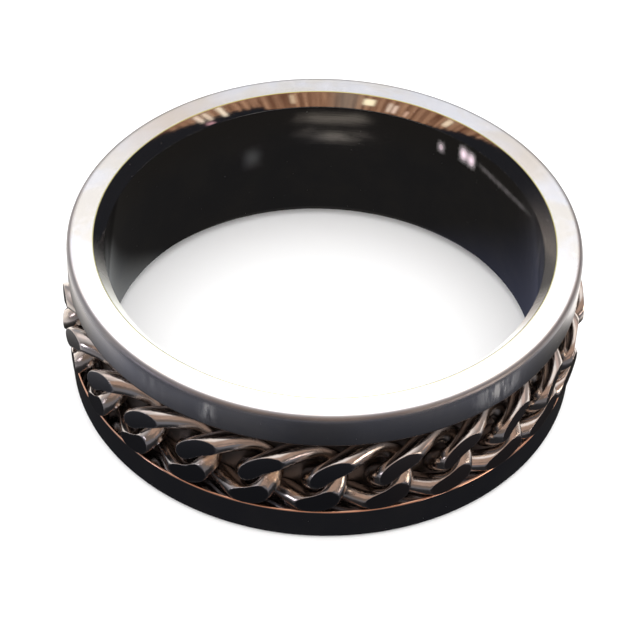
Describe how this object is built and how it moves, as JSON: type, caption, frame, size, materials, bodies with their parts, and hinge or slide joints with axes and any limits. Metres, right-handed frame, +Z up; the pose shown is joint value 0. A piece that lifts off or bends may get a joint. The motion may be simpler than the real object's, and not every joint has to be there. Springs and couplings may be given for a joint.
{
  "type": "chain link spinner ring",
  "caption": "Polished steel finger ring: a plain band with two flat rims and a central groove that holds a closed, flat-ground curb chain.",
  "frame": {"origin": "on the ring's axis, in the plane of the lower edge face that it rests on", "axes": "+Z up along the ring's axis; -Y the side nearest to the camera in the picture; +X to its right"},
  "size_m": [0.0198, 0.0198, 0.0062],
  "materials": {
    "band": "polished steel: bright turned edge faces, dark mirror walls with fine hairlines",
    "chain": "polished gunmetal steel wire with flat-ground outer faces and a warm bronze sheen"
  },
  "bodies": {
    "root": {"band": "band", "link_01": "chain", "link_02": "chain", "link_03": "chain", "link_04": "chain", "link_05": "chain", "link_06": "chain", "link_07": "chain", "link_08": "chain", "link_09": "chain", "link_10": "chain", "link_11": "chain", "link_12": "chain", "link_13": "chain", "link_14": "chain", "link_15": "chain", "link_16": "chain", "link_17": "chain", "link_18": "chain", "link_19": "chain", "link_20": "chain", "link_21": "chain", "link_22": "chain", "link_23": "chain", "link_24": "chain", "link_25": "chain"}
  },
  "joints": []
}
